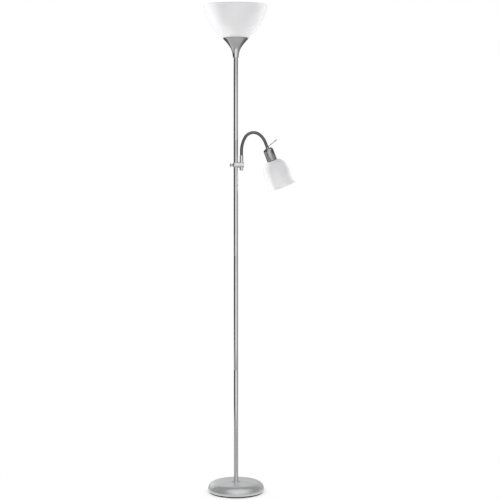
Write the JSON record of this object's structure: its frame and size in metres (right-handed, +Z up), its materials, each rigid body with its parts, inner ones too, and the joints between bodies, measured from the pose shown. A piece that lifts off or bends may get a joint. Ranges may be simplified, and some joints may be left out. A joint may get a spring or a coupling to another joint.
{
  "type": "floor lamp",
  "caption": "Floor lamp: round weighted base, slim pole, bowl-shaped uplighter on a trumpet cup, and a bell-shaped reading light on a clamped flexible arm.",
  "frame": {"origin": "on the floor, on the pole's axis", "axes": "+Z up along the pole, +X towards the reading light's arm, +Y towards the back, where the mains lead leaves"},
  "size_m": [0.3394, 0.232, 1.8],
  "materials": {
    "silver_paint": "satin silver-grey paint",
    "satin_nickel": "satin nickel plating",
    "chrome": "polished",
    "gunmetal": "satin dark nickel",
    "dark_steel": "ribbed, dark nickel",
    "zinc": "zinc plated",
    "brass": "plain",
    "iron": "rough, as cast",
    "black_rubber": "matt",
    "black_lead": "smooth",
    "cream_plastic": "moulded",
    "black_plastic": "moulded",
    "opal_plastic": "smooth opal white",
    "opal_glass": "opal white"
  },
  "bodies": {
    "stand": {"base_pad": "black_rubber", "base_weight": "iron", "base_cover": "silver_paint", "cord_grommet": "black_rubber", "foot_stud": "zinc", "foot_washer": "zinc", "foot_nut": "brass", "foot_insert": "zinc", "pole_collar": "silver_paint", "pole_tube_1": "satin_nickel", "pole_tube_2": "satin_nickel", "pole_tube_3": "satin_nickel", "pole_tube_4": "satin_nickel", "pole_joiner_1": "zinc", "pole_joiner_2": "zinc", "pole_joiner_3": "zinc", "pole_lead": "black_lead", "top_insert": "zinc", "uplight_cup": "silver_paint", "uplight_nipple": "zinc", "uplight_nut": "brass", "uplight_lampholder": "cream_plastic", "uplight_ring": "cream_plastic", "uplight_shade": "opal_plastic", "uplight_bulb": "opal_glass"},
    "arm": {"clamp_block": "chrome", "arm_sleeve": "satin_nickel", "sleeve_plug": "satin_nickel", "arm_lead": "black_lead", "gooseneck_1": "dark_steel"},
    "screw": {"clamp_screw": "gunmetal"},
    "neck_2": {"gooseneck_2": "dark_steel"},
    "neck_3": {"gooseneck_3": "dark_steel"},
    "neck_4": {"gooseneck_4": "dark_steel"},
    "head": {"gooseneck_5": "dark_steel", "hose_nipple": "gunmetal", "hose_nut": "brass", "reading_cap": "gunmetal", "cap_screw": "chrome", "reading_lampholder": "black_plastic", "reading_ring": "black_plastic", "reading_shade": "opal_plastic", "reading_bulb": "opal_glass", "switch_housing": "gunmetal"},
    "switch": {"switch_spindle": "gunmetal"}
  },
  "joints": [
    {"name": "arm_swivel", "type": "hinge", "parent": "stand", "child": "arm", "pos_m": [0, 0, 1.2178], "axis": [0, 0, 1], "range_deg": [-70, 70], "deforming": ["arm_lead"]},
    {"name": "thumb_screw_turn", "type": "hinge", "parent": "arm", "child": "screw", "pos_m": [-0.015, 0, 1.2178], "axis": [-1, 0, 0], "range_deg": [0, 540]},
    {"name": "neck_lower_bend", "type": "hinge", "parent": "arm", "child": "neck_2", "pos_m": [0.03446, 0, 1.3184], "axis": [0, -1, 0], "range_deg": [-10, 30], "deforming": ["arm_lead"]},
    {"name": "neck_side_bend", "type": "hinge", "parent": "neck_2", "child": "neck_3", "pos_m": [0.06651, 0, 1.3369], "axis": [0, 0, 1], "range_deg": [-30, 30], "deforming": ["arm_lead"]},
    {"name": "neck_upper_bend", "type": "hinge", "parent": "neck_3", "child": "neck_4", "pos_m": [0.08929, 0, 1.32906], "axis": [0, -1, 0], "range_deg": [-8, 30], "deforming": ["arm_lead"]},
    {"name": "neck_head_bend", "type": "hinge", "parent": "neck_4", "child": "head", "pos_m": [0.11136, 0, 1.29944], "axis": [0, -1, 0], "range_deg": [-12, 30], "deforming": ["arm_lead"]},
    {"name": "switch_turn", "type": "hinge", "parent": "head", "child": "switch", "pos_m": [0.11873, 0.0112, 1.28063], "axis": [0.7727, 0, 0.6347], "continuous": true}
  ]
}
